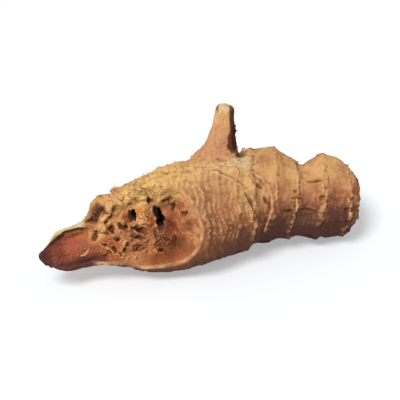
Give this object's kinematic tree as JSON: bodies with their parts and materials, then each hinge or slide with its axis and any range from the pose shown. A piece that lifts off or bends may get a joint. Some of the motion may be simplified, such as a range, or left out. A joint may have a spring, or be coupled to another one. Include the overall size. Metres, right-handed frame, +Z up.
{
  "type": "dried galangal root",
  "caption": "Dried galangal rhizome with leaf-scar rings, a broken leafy shoot on top, a torn fibrous end and a blunt scarred end, lying on its side.",
  "frame": {"origin": "on the surface that the rhizome lies on, under the middle of its bounding box", "axes": "+X along the rhizome from the torn end to the blunt scarred end, +Y to the back, away from the side the torn face looks to, +Z up"},
  "size_m": [0.055, 0.02, 0.0243],
  "materials": {
    "rind": "dry, matt and fibrous"
  },
  "bodies": {
    "root": {"galangal_rhizome": "rind"}
  },
  "joints": []
}
